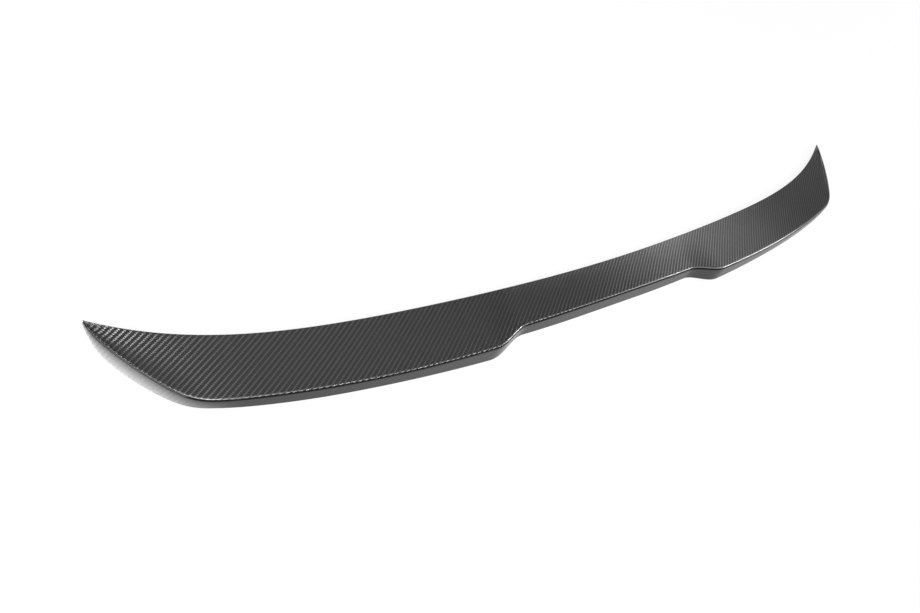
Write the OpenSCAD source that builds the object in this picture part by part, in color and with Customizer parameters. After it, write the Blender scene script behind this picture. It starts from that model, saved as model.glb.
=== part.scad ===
// Rear spoiler for a car's boot lid: one moulded shell, open underneath.
// Units are millimetres. X runs across the car, +Y towards the front of the car, +Z up.
// The origin is at floor level in the middle of the shell's box, with the rear skirt standing on Z = 0.

/* [Overall] */
// Width from tip to tip
span = 1250; // [900:5:1500]
// Thickness of the moulded wall
wall_t = 2; // [1.2:0.1:3]

/* [Leading edge] */
// How far the middle of the leading edge lies behind the tips
lead_sweep = 86.6; // [70:0.5:100]
// Extra sweep of the leading edge along the middle of each wing
lead_sweep_mid = 30; // [0:1:50]
// Extra sweep of the leading edge close to the tips
lead_sweep_tip = 70.5; // [30:1:85]
// How far the middle of the leading edge lies above the tips
lead_rise = 9.4; // [0:0.5:20]
// Extra rise of the leading edge along the middle of each wing
lead_rise_mid = 2.6; // [0:0.5:12]
// Loss of rise of the leading edge close to the tips
lead_rise_tip = 6.5; // [0:0.1:12]
// Radius on the thin leading edge
lead_r = 0.9; // [0.3:0.1:1]

/* [Trailing edge] */
// How far the trailing edge would lie behind the tips in the middle, without the recess
wing_depth = 149; // [135:0.5:165]
// How far the trailing edge swings forward by the outer corners
wing_sweep = 43.5; // [10:0.5:60]
// How late along the wing the trailing edge swings forward
wing_power = 3; // [2:0.1:4]
// Distance of the outer corners from each tip, along X
corner_in = 75; // [50:1:100]
// How far the side edges lie behind the tips by the outer corners
side_depth = 115.2; // [100:0.2:130]
// Fullness of the side edges between tip and corner
side_power = 0.71; // [0.6:0.01:1]
// Sharpness of the outer corners
corner_power = 13.5; // [8:0.5:16]
// How far the lip of the wings lies above the tips
lip_rise = 14.2; // [6:0.1:15.5]
// How late along the wing the lip drops to the tip
lip_power = 8.3; // [4:0.1:12]
// Radius along the lip
lip_r = 2.6; // [1:0.1:3]

/* [Centre recess] */
// Half width of the recess where its ramps begin
recess_in = 155.5; // [100:1:180]
// Length of each ramp along X
ramp_l = 63.5; // [40:1:90]
// How far the lip steps forward in the recess
recess_depth = 16.1; // [4:0.1:20]
// How far the lip steps down in the recess
recess_drop = 5.9; // [0:0.1:8]

/* [Rear skirt] */
// Height of the skirt below the lip in the middle
skirt_mid = 19; // [17:0.5:24]
// How far the foot of the skirt arches up along each wing
foot_arch = 10; // [0:0.5:12]
// Half width of the flat stretch in the middle of the skirt's foot
foot_flat = 60; // [20:5:90]
// Distance from each tip over which the skirt grows to its height
skirt_run = 14; // [10:1:30]
// Angle by which the skirt leans outwards at its foot
skirt_lean = 18; // [0:1:25]
// Angle by which the skirt leans outwards at the sides
side_lean = 28; // [0:1:50]
// How far the foot of the skirt stands off the ground at the sides
side_lift = 2.5; // [0:0.5:6]
// How far the top face dips between leading edge and lip
dish = 1.4; // [0:0.1:3]

/* [Hidden] */

carbon_colour = [0.16, 0.16, 0.17];

half = span / 2;
recess_out = recess_in + ramp_l;
corner_x = half - corner_in;
wing_end = corner_x - corner_in / 2;
// The tips hang above the resting plane by what the skirt's foot in the middle needs to stand on it
tip_h = skirt_mid - lip_rise + recess_drop;
// The foot's arch rises from the flat stretch in the middle, is full along each wing, and ends at the sides
arch_from = 0.64 * half;
arch_to = half - 1.2 * corner_in;
arch_end = half - 0.15 * corner_in;

// Small step for slopes, and the blunt end that is left at each tip
slope_step = 0.05;
tip_end = 0.25;
tip_skirt = 1.6;

// Numbers of rings over the flat of the foot, up to a ramp, on a ramp, on a wing and round an outer corner
flat_rings = 3;
middle_rings = 5;
ramp_rings = 9;
wing_rings = 14;
side_rings = 26;

// Numbers of faces round a section: across the top, round the lip and round the leading edge
top_faces = 8;
lip_faces = 5;
lead_faces = 3;

// Part of a cavity's neck that its wall may fill on each side, and part that an edge radius may take
wall_share = 0.3;
edge_share = 0.4;

function smooth(from, to, x) =
    let (t = min(1, max(0, (x - from) / (to - from)))) t * t * (3 - 2 * t);
function mix(a, b, t) = a + (b - a) * t;
function unit(v) = v / norm(v);

// Leading edge of the half at distance a from the middle
function lead_point(a) =
    let (
        u2 = pow(a / half, 2),
        y = -(1 - u2) * (lead_sweep + lead_sweep_mid * u2 + lead_sweep_tip * u2 * u2),
        z = (1 - u2) * (lead_rise + lead_rise_mid * u2 - lead_rise_tip * u2 * u2)
    ) [a, y, tip_h + z];

// Lip of the half: wing and side edge meet in a soft corner, and the recess steps it forward
function wing_line(a) = wing_depth - wing_sweep * pow(a / corner_x, wing_power);
function side_line(a) = side_depth * pow(max(half - a, 0) / corner_in, side_power);
function soft_min(p, q) = pow(pow(p, -corner_power) + pow(q, -corner_power), -1 / corner_power);
function in_recess(a) = 1 - smooth(recess_in, recess_out, a);
function lip_y(a) = recess_depth * in_recess(a) - soft_min(wing_line(a), side_line(a));
function lip_z(a) = tip_h + lip_rise * (1 - pow(a / half, lip_power)) - recess_drop * in_recess(a);
function lip_point(a) = [a, lip_y(a), lip_z(a)];

// Outward direction of the lip in plan
function lip_out(a) =
    let (
        at = max(slope_step, min(a, half - tip_end - slope_step)),
        slope = (lip_y(at + slope_step) - lip_y(at - slope_step)) / (2 * slope_step)
    ) unit([slope, -1, 0]);

// Foot of the skirt: on the ground in the middle, arched along the wings and lower again at the sides
function foot_z(a) =
    let (rise = foot_arch * smooth(foot_flat, arch_from, a))
    rise - (foot_arch - side_lift) * smooth(arch_to, arch_end, a);

// Lean of the skirt, which grows round the outer corner
function lean_at(a) = mix(skirt_lean, side_lean, smooth(arch_to, arch_end, a));

// Height of the skirt, which sweeps up to almost nothing at the tip
function skirt_h(a) =
    let (grown = sqrt(min(1, (half - a) / skirt_run)))
    mix(tip_skirt, lip_z(a) - foot_z(a), smooth(0, 1, grown));

// One closed ring round the shell's section, from the leading edge over the top to the skirt and back
function ring(a) =
    let (
        lead = lead_point(a),
        lip = lip_point(a),
        out = lip_out(a),
        h = skirt_h(a),
        lean = lean_at(a),
        chord = norm(lip - lead),
        t = min(wall_t, wall_share * chord, wall_share * h),
        across = unit(lip - lead),
        up = [0, -across[2], across[1]] * sign(across[1]),
        down = unit([out[0] * tan(lean), out[1] * tan(lean), -1]),
        foot = lip + down * (h / -down[2]),
        sag = dish * t / wall_t,
        r = min(lip_r, edge_share * chord, edge_share * h),
        nose = min(lead_r, edge_share * t),
        inner_lip = lip - up * t - out * t / cos(lean) - across * (t * 0.2),
        inner_foot = foot - out * t / cos(lean),
        lead_in = lead - up * t,
        lead_arc = [for (i = [0 : lead_faces]) let (w = 180 * i / lead_faces)
            lead - up * t / 2 + across * nose * (1 - sin(w)) - up * (t / 2) * cos(w)],
        top = [for (i = [1 : top_faces - 1]) let (s = i / top_faces)
            mix(lead, lip - across * r, s) - up * sag * 4 * s * (1 - s)],
        bend = [for (i = [0 : lip_faces]) let (s = i / lip_faces)
            (lip - across * r) * pow(1 - s, 2) + lip * 2 * s * (1 - s) + (lip + down * r) * pow(s, 2)],
        under = [for (i = [top_faces - 1 : -1 : 1]) let (s = i / top_faces)
            mix(lead_in, inner_lip, s) - up * sag * 4 * s * (1 - s)]
    ) concat(lead_arc, top, bend, [foot, inner_foot, inner_lip], under);

function mirrored(points) = [for (p = points) [-p[0], p[1], p[2]]];

// Places of the rings on one half, closer together on the ramp and towards the tip
function spread(from, to, count) = [for (i = [0 : count - 1]) mix(from, to, i / count)];
side_end = half - tip_end;
half_places = concat(
    spread(0, foot_flat, flat_rings),
    spread(foot_flat, recess_in, middle_rings),
    spread(recess_in, recess_out, ramp_rings),
    spread(recess_out, wing_end, wing_rings),
    [for (i = [0 : side_rings]) mix(wing_end, side_end, sin(90 * i / side_rings))]
);

module loft(rings) {
    n = len(rings[0]);
    last = len(rings) - 1;
    points = [for (r = rings, p = r) p];
    sides = [for (i = [0 : last - 1], j = [0 : n - 1]) let (k = (j + 1) % n)
        [i * n + j, i * n + k, (i + 1) * n + k, (i + 1) * n + j]];
    quads = [for (q = sides) each [[q[2], q[1], q[0]], [q[3], q[2], q[0]]]];
    first_cap = [for (j = [0 : n - 1]) j];
    last_cap = [for (j = [n - 1 : -1 : 0]) last * n + j];
    polyhedron(points, concat(quads, [first_cap, last_cap]), convexity = 6);
}

module spoiler_shell() {
    right = [for (a = half_places) ring(a)];
    left = [for (i = [len(right) - 1 : -1 : 1]) mirrored(right[i])];
    rear = min([for (r = right, p = r) p[1]]);
    front = max([for (r = right, p = r) p[1]]);
    color(carbon_colour)
        translate([0, -(rear + front) / 2, 0])
            loft(concat(left, right));
}

spoiler_shell();
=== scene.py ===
import math

import bpy
import numpy as np
from mathutils import Matrix, Vector


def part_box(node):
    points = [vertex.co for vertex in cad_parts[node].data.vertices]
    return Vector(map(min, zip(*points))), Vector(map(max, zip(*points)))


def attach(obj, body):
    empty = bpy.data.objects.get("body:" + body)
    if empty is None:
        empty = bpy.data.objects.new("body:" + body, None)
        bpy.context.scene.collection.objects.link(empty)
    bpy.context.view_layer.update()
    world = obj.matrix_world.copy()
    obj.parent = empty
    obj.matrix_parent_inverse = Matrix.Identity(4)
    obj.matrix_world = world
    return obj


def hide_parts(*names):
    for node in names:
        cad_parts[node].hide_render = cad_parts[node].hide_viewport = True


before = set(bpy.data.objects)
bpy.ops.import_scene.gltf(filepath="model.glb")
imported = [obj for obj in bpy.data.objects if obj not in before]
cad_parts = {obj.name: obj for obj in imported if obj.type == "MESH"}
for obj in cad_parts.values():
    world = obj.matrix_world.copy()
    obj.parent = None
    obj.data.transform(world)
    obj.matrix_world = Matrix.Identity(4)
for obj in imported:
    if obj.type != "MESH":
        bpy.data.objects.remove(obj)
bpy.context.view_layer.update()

MM = 0.001

# Sizes of the shell in millimetres, as in its source
SPAN = 1250.0
WALL_T = 2.0
LEAD_SWEEP = 86.6
LEAD_SWEEP_MID = 30.0
LEAD_SWEEP_TIP = 70.5
LEAD_RISE = 9.4
LEAD_RISE_MID = 2.6
LEAD_RISE_TIP = 6.5
LEAD_R = 0.9
WING_DEPTH = 149.0
WING_SWEEP = 43.5
WING_POWER = 3.0
CORNER_IN = 75.0
SIDE_DEPTH = 115.2
SIDE_POWER = 0.71
CORNER_POWER = 13.5
LIP_RISE = 14.2
LIP_POWER = 8.3
LIP_R = 2.6
RECESS_IN = 155.5
RAMP_L = 63.5
RECESS_DEPTH = 16.1
RECESS_DROP = 5.9
SKIRT_MID = 19.0
FOOT_ARCH = 10.0
FOOT_FLAT = 60.0
SKIRT_RUN = 14.0
SKIRT_LEAN = math.radians(18.0)
SIDE_LEAN = math.radians(28.0)
SIDE_LIFT = 2.5
DISH = 1.4

HALF = SPAN / 2
RECESS_OUT = RECESS_IN + RAMP_L
CORNER_X = HALF - CORNER_IN
WING_END = CORNER_X - CORNER_IN / 2
TIP_H = SKIRT_MID - LIP_RISE + RECESS_DROP
ARCH_FROM = 0.64 * HALF
ARCH_TO = HALF - 1.2 * CORNER_IN
ARCH_END = HALF - 0.15 * CORNER_IN
SLOPE_STEP = 0.05
TIP_END = 0.25
TIP_SKIRT = 1.6
WALL_SHARE = 0.3
EDGE_SHARE = 0.4
INNER_BACK = 0.2

# Finer rings and faces than the source has
MIDDLE_RINGS = 40
RAMP_RINGS = 40
WING_RINGS = 60
SIDE_RINGS = 80
TOP_FACES = 20
LIP_FACES = 8
LEAD_FACES = 6
SKIRT_FACES = 6
BEND_AT = LEAD_FACES + TOP_FACES
FOOT_AT = BEND_AT + LIP_FACES + SKIRT_FACES

# Weave: widths of the tows and radius of the arc that the cloth is laid in, in millimetres
TOW_ALONG = 1.65
TOW_ACROSS = 1.45
CLOTH_R = 2560.0

# Twill: tows in one repeat, tows that a float passes over, and how narrow the painted highlight on
# its crown is
REPEAT_TOWS = 4
FLOAT_TOWS = 2
PAINTED_HIGHLIGHT_FOCUS = 4

# Tones: between the tows, the painted highlight on them, the painted glint and painted shade where
# they bend over the lip, and on the plainer faces below, where the side faces carry a painted
# reflection that grows lighter towards the foot
GAP_TONE = 0.065
TOW_PAINTED_HIGHLIGHT_TONE = 0.21
PAINTED_GLINT_TONE = 0.22
PAINTED_CREASE_SHADE_TONE = 0.005
SKIRT_TONE = 0.055
SIDE_TOP_PAINTED_REFLECTION = 0.12
SIDE_FOOT_PAINTED_REFLECTION = 0.42

# Where those tones begin and end, as shares of the lip's bend
PAINTED_GLINT_END = 0.08
CREASE_SHADE_FROM = 0.3
CREASE_SHADE_TO = 0.45
SKIRT_FROM = 0.85

# Gloss of the fibres and of the clear coat
TOP_ROUGHNESS = 0.35
SKIRT_ROUGHNESS = 0.5
SKIRT_ANISOTROPY = 0.25
FIBRE_EDGE_TINT = (0.5, 0.5, 0.5, 1)
QUARTER_TURN = 0.25
COAT_WEIGHT = 0.58
COAT_ROUGHNESS = 0.04
COAT_IOR = 1.5
BUMP_STRENGTH = 0.5
BUMP_HEIGHT = 0.1

# Camera, fitted to the photograph of 920 by 613 pixels
IMAGE_W = 920
FOCAL_PX = 1000.0
SENSOR = 36.0
CLIP_START = 0.01
TIP_TO_CAMERA = Vector((-934.5, -268.6, 826.4)) * MM
CAMERA_RIGHT = Vector((0.7353, -0.4173, 0.5341))
CAMERA_UP = Vector((0.2247, 0.8935, 0.3887))

# World: its two levels, the direction of the brighter one, and where it begins and is full
WORLD_LOW = 0.22
WORLD_HIGH = 0.7
BRIGHT_SIDE = (0.32, 0.38, 0.87)
BRIGHT_FROM = 0.79
BRIGHT_TO = 0.97

# Floor: its tone, the fill that takes it up to white where it is seen, and its size
FLOOR_GREY = 0.12
FLOOR_FILL = 0.88
FLOOR_R = 12.0
FLOOR_RIM = 3.0
FLOOR_SIDES = 64

# Dark card: its tone, its distance, and the turn and rise of its corners in degrees
CARD_GREY = 0.01
CARD_AWAY = 1.8
CARD_CORNERS = ((-56, 4), (-28, 4), (-24, 58), (-60, 58))


def smooth(start, end, x):
    t = min(1.0, max(0.0, (x - start) / (end - start)))
    return t * t * (3 - 2 * t)


def mix(a, b, t):
    return a + (b - a) * t


def unit(v):
    return v / np.linalg.norm(v)


def lead_point(a):
    """Leading edge at distance a from the middle."""
    u2 = (a / HALF) ** 2
    y = -(1 - u2) * (LEAD_SWEEP + LEAD_SWEEP_MID * u2 + LEAD_SWEEP_TIP * u2 * u2)
    z = (1 - u2) * (LEAD_RISE + LEAD_RISE_MID * u2 - LEAD_RISE_TIP * u2 * u2)
    return np.array([a, y, TIP_H + z])


def in_recess(a):
    return 1 - smooth(RECESS_IN, RECESS_OUT, a)


def lip_y(a):
    wing = WING_DEPTH - WING_SWEEP * (max(a, 0) / CORNER_X) ** WING_POWER
    side = SIDE_DEPTH * (max(HALF - a, 0) / CORNER_IN) ** SIDE_POWER
    soft_min = (wing ** -CORNER_POWER + side ** -CORNER_POWER) ** (-1 / CORNER_POWER)
    return RECESS_DEPTH * in_recess(a) - soft_min


def lip_point(a):
    """Lip at distance a from the middle: wing and side edge meet in a soft corner."""
    z = TIP_H + LIP_RISE * (1 - (a / HALF) ** LIP_POWER) - RECESS_DROP * in_recess(a)
    return np.array([a, lip_y(a), z])


def lip_out(a):
    """Outward direction of the lip in plan."""
    at = max(SLOPE_STEP, min(a, HALF - TIP_END - SLOPE_STEP))
    slope = (lip_y(at + SLOPE_STEP) - lip_y(at - SLOPE_STEP)) / (2 * SLOPE_STEP)
    return unit(np.array([slope, -1.0, 0.0]))


def foot_z(a):
    wing = FOOT_ARCH * smooth(FOOT_FLAT, ARCH_FROM, a)
    return wing - (FOOT_ARCH - SIDE_LIFT) * smooth(ARCH_TO, ARCH_END, a)


def skirt_h(a):
    grown = math.sqrt(min(1.0, (HALF - a) / SKIRT_RUN))
    return mix(TIP_SKIRT, lip_point(a)[2] - foot_z(a), smooth(0, 1, grown))


def ring(a):
    """Closed ring round the section at distance a, and its points laid flat in plan."""
    lead, lip, out = lead_point(a), lip_point(a), lip_out(a)
    h = skirt_h(a)
    lean = mix(SKIRT_LEAN, SIDE_LEAN, smooth(ARCH_TO, ARCH_END, a))
    chord = np.linalg.norm(lip - lead)
    t = min(WALL_T, WALL_SHARE * chord, WALL_SHARE * h)
    across = unit(lip - lead)
    up = np.array([0, -across[2], across[1]]) * np.sign(across[1])
    down = unit(np.array([out[0] * math.tan(lean), out[1] * math.tan(lean), -1.0]))
    foot = lip + down * (h / -down[2])
    sag = DISH * t / WALL_T
    r = min(LIP_R, EDGE_SHARE * chord, EDGE_SHARE * h)
    nose = min(LEAD_R, EDGE_SHARE * t)
    inner_lip = lip - up * t - out * t / math.cos(lean) - across * (t * INNER_BACK)
    inner_foot = foot - out * t / math.cos(lean)
    lead_in = lead - up * t
    points = []
    for i in range(LEAD_FACES + 1):
        w = math.pi * i / LEAD_FACES
        nose_in = across * nose * (1 - math.sin(w))
        points.append(lead - up * t / 2 + nose_in - up * (t / 2) * math.cos(w))
    for i in range(1, TOP_FACES):
        s = i / TOP_FACES
        points.append(mix(lead, lip - across * r, s) - up * sag * 4 * s * (1 - s))
    for i in range(LIP_FACES + 1):
        s = i / LIP_FACES
        bend = (lip - across * r) * (1 - s) ** 2 + lip * 2 * s * (1 - s) + (lip + down * r) * s ** 2
        points.append(bend)
    for i in range(1, SKIRT_FACES + 1):
        points.append(mix(lip + down * r, foot, i / SKIRT_FACES))
    points.append(inner_foot)
    points.append(inner_lip)
    for i in range(TOP_FACES - 1, 0, -1):
        s = i / TOP_FACES
        points.append(mix(lead_in, inner_lip, s) - up * sag * 4 * s * (1 - s))
    points = np.array(points)
    return points, laid_flat(points, out)


def laid_flat(points, out):
    """Plan places of a ring's points, with the lip's bend and the skirt folded out flat."""
    flat = points[:, :2].copy()
    for i in range(BEND_AT + 1, FOOT_AT + 1):
        flat[i] = flat[i - 1] + out[:2] * np.linalg.norm(points[i] - points[i - 1])
    return flat


def spread(start, end, count):
    return [mix(start, end, i / count) for i in range(count)]


def half_places():
    """Places of the rings on one half, closer together on the ramp and towards the tip."""
    side_end = HALF - TIP_END
    places = spread(0, RECESS_IN, MIDDLE_RINGS) + spread(RECESS_IN, RECESS_OUT, RAMP_RINGS)
    places += spread(RECESS_OUT, WING_END, WING_RINGS)
    for i in range(SIDE_RINGS + 1):
        places.append(mix(WING_END, side_end, math.sin(math.pi / 2 * i / SIDE_RINGS)))
    return places


def both_halves(right):
    flip = np.ones(right.shape[2])
    flip[0] = -1.0
    return np.concatenate([right[:0:-1] * flip, right])


def shell_rings():
    """All rings of the shell, and their points' places along and across the cloth, in metres."""
    halves = [ring(a) for a in half_places()]
    rings = both_halves(np.array([points for points, flat in halves]))
    flats = both_halves(np.array([flat for points, flat in halves]))
    y = rings[:, :, 1]
    rings[:, :, 1] -= (y.min() + y.max()) / 2
    from_centre = CLOTH_R - flats[:, :, 1]
    along = CLOTH_R * np.arctan2(flats[:, :, 0], from_centre)
    across = CLOTH_R - np.hypot(flats[:, :, 0], from_centre)
    return rings * MM, np.stack([along, across], axis=2) * MM


def shell_faces(count, size):
    """Faces between neighbouring rings, and a cap at each end."""
    faces = []
    for i in range(count - 1):
        for j in range(size):
            k = (j + 1) % size
            faces.append((i * size + j, i * size + k, (i + 1) * size + k, (i + 1) * size + j))
    last = (count - 1) * size
    faces.append(tuple(range(size - 1, -1, -1)))
    faces.append(tuple(last + j for j in range(size)))
    return faces


def fold_places(rings):
    """Place across the fold, 1 at the bend's end and 2 at the foot, and place round the corner."""
    count, size = rings.shape[:2]
    past_lip = np.arange(size) - BEND_AT
    on_bend = np.clip(past_lip / LIP_FACES, 0, 1)
    on_skirt = np.clip((past_lip - LIP_FACES) / SKIRT_FACES, 0, 1)
    side_full = HALF - CORNER_IN / 2
    round_corner = [smooth(WING_END, side_full, abs(points[0, 0]) / MM) for points in rings]
    folded = np.zeros((count, size, 2))
    folded[:, :, 0] = on_bend + on_skirt
    folded[:, :, 1] = np.array(round_corner)[:, None]
    return folded


def add_uv(mesh, name, places, faces):
    """UV layer from one place for each point."""
    corners = [corner for face in faces for corner in face]
    layer = mesh.uv_layers.new(name=name)
    layer.data.foreach_set("uv", places.reshape(-1, 2)[corners].astype(np.float32).ravel())


def sharp_edges(mesh, size):
    """Smooth faces, with the foot's two edges and the inner corner left sharp."""
    sharp = {FOOT_AT, FOOT_AT + 1, FOOT_AT + 2}
    mesh.update(calc_edges=True)
    mesh.polygons.foreach_set("use_smooth", [True] * len(mesh.polygons))
    marks = []
    for edge in mesh.edges:
        a, b = edge.vertices
        runs_along = a % size == b % size
        marks.append(runs_along and a % size in sharp)
    attribute = mesh.attributes.new("sharp_edge", "BOOLEAN", "EDGE")
    attribute.data.foreach_set("value", marks)


def shell_piece():
    rings, cloth = shell_rings()
    count, size = rings.shape[:2]
    faces = shell_faces(count, size)
    mesh = bpy.data.meshes.new("spoiler_shell_fine")
    mesh.from_pydata([tuple(point) for point in rings.reshape(-1, 3)], [], faces)
    add_uv(mesh, "weave", cloth, faces)
    add_uv(mesh, "fold", fold_places(rings), faces)
    sharp_edges(mesh, size)
    piece = bpy.data.objects.new("spoiler_shell_fine", mesh)
    bpy.context.scene.collection.objects.link(piece)
    return piece


class Nodes:
    """Short calls for a material's nodes."""

    def __init__(self, material):
        material.use_nodes = True
        self.tree = material.node_tree
        self.tree.nodes.clear()

    def add(self, kind, **values):
        node = self.tree.nodes.new(kind)
        for name, value in values.items():
            setattr(node, name, value)
        return node

    def join(self, source, target):
        self.tree.links.new(source, target)

    def math(self, operation, *values):
        node = self.add("ShaderNodeMath", operation=operation)
        for socket, value in zip(node.inputs, values):
            if isinstance(value, (int, float)):
                socket.default_value = value
            else:
                self.join(value, socket)
        return node.outputs[0]


def part_way(n, place, start, end):
    """0 before start, 1 after end, and a steady rise between them."""
    node = n.add("ShaderNodeMapRange")
    n.join(place, node.inputs["Value"])
    node.inputs["From Min"].default_value = start
    node.inputs["From Max"].default_value = end
    return node.outputs["Result"]


def blend(n, factor, a, b):
    """From a to b as the factor goes from 0 to 1."""
    node = n.add("ShaderNodeMix", data_type="FLOAT")
    n.join(factor, node.inputs["Factor"])
    for name, value in (("A", a), ("B", b)):
        if isinstance(value, float):
            node.inputs[name].default_value = value
        else:
            n.join(value, node.inputs[name])
    return node.outputs["Result"]


def dome(n, place):
    """0 at both ends of a run from 0 to 1, and 1 in its middle."""
    centred = n.math("MULTIPLY_ADD", place, 2, -1)
    return n.math("SUBTRACT", 1, n.math("MULTIPLY", centred, centred))


def uv_places(n, name):
    """Both numbers of a UV layer."""
    layer = n.add("ShaderNodeUVMap", uv_map=name)
    split = n.add("ShaderNodeSeparateXYZ")
    n.join(layer.outputs[0], split.inputs[0])
    return split.outputs[0], split.outputs[1]


def twill(n):
    """Mask of the tows that run along the shell, their height, and the painted highlight on the
    crown of each.
    """
    place_along, place_across = uv_places(n, "weave")
    along = n.math("DIVIDE", place_along, TOW_ALONG * MM)
    across = n.math("DIVIDE", place_across, TOW_ACROSS * MM)
    column, row = n.math("FLOOR", along), n.math("FLOOR", across)
    column_part, row_part = n.math("FRACT", along), n.math("FRACT", across)
    step = n.math("FLOORED_MODULO", n.math("SUBTRACT", column, row), REPEAT_TOWS)
    runs_along = n.math("LESS_THAN", step, FLOAT_TOWS - 0.5)
    from_end = n.math("SUBTRACT", REPEAT_TOWS - 1, step)
    along_place = n.math("MULTIPLY", n.math("ADD", step, column_part), 1 / FLOAT_TOWS)
    across_place = n.math("MULTIPLY", n.math("ADD", from_end, row_part), 1 / FLOAT_TOWS)
    along_height = n.math("ADD", dome(n, row_part), dome(n, along_place))
    across_height = n.math("ADD", dome(n, column_part), dome(n, across_place))
    difference = n.math("SUBTRACT", along_height, across_height)
    height = n.math("MULTIPLY_ADD", runs_along, difference, across_height)
    # Painted highlight on the crown of each tow that runs along the shell, which also shows the
    # weave
    painted_focus = n.math("POWER", dome(n, along_place), PAINTED_HIGHLIGHT_FOCUS)
    return runs_along, height, n.math("MULTIPLY", runs_along, painted_focus)


def carbon_tone(n, bend, side, skirt, painted_highlight):
    """Tone of the cloth: painted highlights on the tows on top, painted glints on the bend, painted
    shade along the crease, a plain skirt, and a painted reflection on the side faces.
    """
    # Painted glint on the tows where they begin to bend over the lip, away from the tips
    painted_glint = n.math("MULTIPLY", part_way(n, bend, 0, PAINTED_GLINT_END), n.math("SUBTRACT", 1, side))
    tows = blend(n, painted_highlight, blend(n, painted_glint, GAP_TONE, PAINTED_GLINT_TONE), TOW_PAINTED_HIGHLIGHT_TONE)
    # Painted shade along the crease, standing in for the dark reflection in the bend
    lip = blend(n, part_way(n, bend, CREASE_SHADE_FROM, CREASE_SHADE_TO), tows, PAINTED_CREASE_SHADE_TONE)
    # Side faces at the tips: painted reflection, lighter than the skirt and lighter still towards
    # the foot
    side_painted_reflection = blend(n, part_way(n, bend, 1, 2), SIDE_TOP_PAINTED_REFLECTION, SIDE_FOOT_PAINTED_REFLECTION)
    return blend(n, skirt, lip, blend(n, side, SKIRT_TONE, side_painted_reflection))


def carbon_bump(n, height):
    bump = n.add("ShaderNodeBump")
    bump.inputs["Strength"].default_value = BUMP_STRENGTH
    bump.inputs["Distance"].default_value = BUMP_HEIGHT * MM
    n.join(height, bump.inputs["Height"])
    return bump.outputs[0]


def carbon_material():
    """Twill of fibres that each light up along their own direction, under a clear coat."""
    material = bpy.data.materials.new("carbon")
    n = Nodes(material)
    runs_along, height, painted_highlight = twill(n)
    bend, side = uv_places(n, "fold")
    skirt = part_way(n, bend, SKIRT_FROM, 1)
    skirt_rougher = SKIRT_ROUGHNESS - TOP_ROUGHNESS
    roughness = n.math("MULTIPLY_ADD", skirt, skirt_rougher, TOP_ROUGHNESS)
    anisotropy = n.math("MULTIPLY_ADD", skirt, SKIRT_ANISOTROPY - 1, 1)
    tangent = n.add("ShaderNodeTangent", direction_type="UV_MAP", uv_map="weave")

    shader = n.add("ShaderNodeBsdfPrincipled")
    shader.inputs["Metallic"].default_value = 1.0
    shader.inputs["Specular Tint"].default_value = FIBRE_EDGE_TINT
    shader.inputs["Coat Weight"].default_value = COAT_WEIGHT
    shader.inputs["Coat Roughness"].default_value = COAT_ROUGHNESS
    shader.inputs["Coat IOR"].default_value = COAT_IOR
    # Base colour holds the painted highlights, glints, crease shade and side reflection
    n.join(carbon_tone(n, bend, side, skirt, painted_highlight), shader.inputs["Base Color"])
    n.join(roughness, shader.inputs["Roughness"])
    n.join(anisotropy, shader.inputs["Anisotropic"])
    n.join(n.math("MULTIPLY", runs_along, QUARTER_TURN), shader.inputs["Anisotropic Rotation"])
    n.join(tangent.outputs[0], shader.inputs["Tangent"])
    n.join(carbon_bump(n, height), shader.inputs["Normal"])
    output = n.add("ShaderNodeOutputMaterial")
    n.join(shader.outputs[0], output.inputs["Surface"])
    return material


def seen_ray(n):
    """1 for the rays that see the surroundings directly, in a mirror or through glass."""
    path = n.add("ShaderNodeLightPath")
    camera_ray, glossy_ray = path.outputs["Is Camera Ray"], path.outputs["Is Glossy Ray"]
    camera_or_gloss = n.math("MAXIMUM", camera_ray, glossy_ray)
    return n.math("MAXIMUM", camera_or_gloss, path.outputs["Is Transmission Ray"])


def floor_material():
    """Pale floor that keeps shadows, with a fill for the rays that see it, up to white."""
    material = bpy.data.materials.new("studio_floor")
    n = Nodes(material)
    pale = n.add("ShaderNodeBsdfDiffuse")
    pale.inputs["Color"].default_value = (FLOOR_GREY, FLOOR_GREY, FLOOR_GREY, 1)
    fill = n.add("ShaderNodeEmission")
    n.join(n.math("MULTIPLY", seen_ray(n), FLOOR_FILL), fill.inputs["Strength"])
    both = n.add("ShaderNodeAddShader")
    n.join(pale.outputs[0], both.inputs[0])
    n.join(fill.outputs[0], both.inputs[1])
    output = n.add("ShaderNodeOutputMaterial")
    n.join(both.outputs[0], output.inputs["Surface"])
    return material


def floor():
    """Round floor with a low rim, which closes the horizon in low views."""
    turns = [2 * math.pi * i / FLOOR_SIDES for i in range(FLOOR_SIDES)]
    low = [(FLOOR_R * math.cos(w), FLOOR_R * math.sin(w), 0) for w in turns]
    high = [(x, y, FLOOR_RIM) for x, y, z in low]
    faces = [tuple(range(FLOOR_SIDES))]
    for i in range(FLOOR_SIDES):
        k = (i + 1) % FLOOR_SIDES
        faces.append((i, i + FLOOR_SIDES, k + FLOOR_SIDES, k))
    mesh = bpy.data.meshes.new("studio_floor")
    mesh.from_pydata(low + high, [], faces)
    mesh.materials.append(floor_material())
    plane = bpy.data.objects.new("studio_floor", mesh)
    bpy.context.scene.collection.objects.link(plane)


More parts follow.
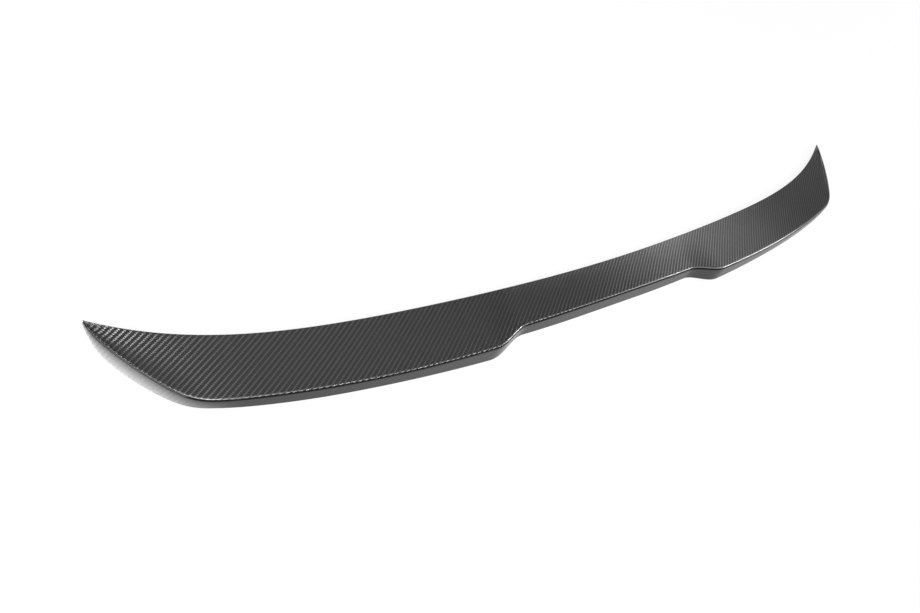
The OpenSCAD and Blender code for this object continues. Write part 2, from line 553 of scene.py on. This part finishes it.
def surroundings():
    """Even, dim studio light from all round, which grows brighter overhead to the front right."""
    world = bpy.data.worlds.new("studio")
    bpy.context.scene.world = world
    n = Nodes(world)
    place = n.add("ShaderNodeTexCoord")
    side = n.add("ShaderNodeVectorMath", operation="DOT_PRODUCT")
    n.join(place.outputs["Generated"], side.inputs[0])
    side.inputs[1].default_value = BRIGHT_SIDE
    grow = n.add("ShaderNodeMapRange", interpolation_type="SMOOTHSTEP")
    n.join(side.outputs["Value"], grow.inputs["Value"])
    grow.inputs["From Min"].default_value = BRIGHT_FROM
    grow.inputs["From Max"].default_value = BRIGHT_TO
    grow.inputs["To Min"].default_value = WORLD_LOW
    grow.inputs["To Max"].default_value = WORLD_HIGH
    background = n.add("ShaderNodeBackground")
    background.inputs["Color"].default_value = (1, 1, 1, 1)
    n.join(grow.outputs["Result"], background.inputs["Strength"])
    output = n.add("ShaderNodeOutputWorld")
    n.join(background.outputs[0], output.inputs["Surface"])


def softbox(name, place, aim, width, height, level):
    """Area lamp of an even level, aimed at a point."""
    lamp = bpy.data.lights.new(name, "AREA")
    lamp.shape = "RECTANGLE"
    lamp.size = width
    lamp.size_y = height
    lamp.energy = level * math.pi * width * height
    holder = bpy.data.objects.new(name, lamp)
    bpy.context.scene.collection.objects.link(holder)
    holder.location = place
    holder.rotation_mode = "QUATERNION"
    holder.rotation_quaternion = (Vector(aim) - Vector(place)).to_track_quat("-Z", "Y")
    holder.visible_camera = False


def left_lights():
    """Light for the left side, the line along its bend, the left stripes and the crease."""
    softbox("softbox_left", place=(-1.9, -0.75, 0.48), aim=(-0.6, 0, 0),
            width=1.6, height=0.85, level=4.6)
    softbox("softbox_front", place=(-1.80, -0.85, 1.50), aim=(-0.5, 0, 0),
            width=1.3, height=0.14, level=35.0)
    softbox("softbox_top", place=(-0.30, -0.31, 1.75), aim=(-0.3, 0, 0),
            width=0.16, height=0.56, level=36.0)
    softbox("softbox_crease", place=(-0.9, -0.70, 1.90), aim=(0, 0, 0),
            width=0.6, height=0.5, level=12.0)


def right_lights():
    """Light for the right stripes, and the line along the right lip."""
    softbox("softbox_right", place=(1.93, -0.40, 0.95), aim=(0.33, 0, 0),
            width=0.3, height=0.4, level=24.0)
    softbox("softbox_lip", place=(1.79, -0.30, 1.20), aim=(0.22, 0, 0),
            width=0.1, height=0.22, level=50.0)


def dark_card():
    """Dark panel to the rear right, whose mirror image keeps the crease and the skirt dark."""
    corners = []
    for turn, rise in CARD_CORNERS:
        turn, rise = math.radians(turn), math.radians(rise)
        flat = CARD_AWAY * math.cos(rise)
        high = CARD_AWAY * math.sin(rise)
        corners.append((flat * math.cos(turn), flat * math.sin(turn), high))
    mesh = bpy.data.meshes.new("dark_card")
    mesh.from_pydata(corners, [], [(0, 1, 2, 3)])
    material = bpy.data.materials.new("dark_card")
    n = Nodes(material)
    cloth = n.add("ShaderNodeBsdfDiffuse")
    cloth.inputs["Color"].default_value = (CARD_GREY, CARD_GREY, CARD_GREY, 1)
    output = n.add("ShaderNodeOutputMaterial")
    n.join(cloth.outputs[0], output.inputs["Surface"])
    mesh.materials.append(material)
    card = bpy.data.objects.new("dark_card", mesh)
    bpy.context.scene.collection.objects.link(card)
    card.visible_camera = False
    card.visible_shadow = False


def camera(tip_y):
    """Camera of the photograph, placed from the tips."""
    data = bpy.data.cameras.new("camera")
    data.sensor_width = SENSOR
    data.lens = FOCAL_PX / IMAGE_W * SENSOR
    data.clip_start = CLIP_START
    view = bpy.data.objects.new("camera", data)
    bpy.context.scene.collection.objects.link(view)
    back = CAMERA_RIGHT.cross(CAMERA_UP)
    turn = Matrix((CAMERA_RIGHT, CAMERA_UP, back)).transposed()
    place = TIP_TO_CAMERA + Vector((0, tip_y, TIP_H * MM))
    view.matrix_world = Matrix.Translation(place) @ turn.to_4x4()
    bpy.context.scene.camera = view


shell = shell_piece()
shell.data.materials.append(carbon_material())
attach(shell, "root")
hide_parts("spoiler_shell")

floor()
surroundings()
left_lights()
right_lights()
dark_card()
camera(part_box("spoiler_shell")[1].y)
bpy.context.scene.view_settings.view_transform = "Standard"
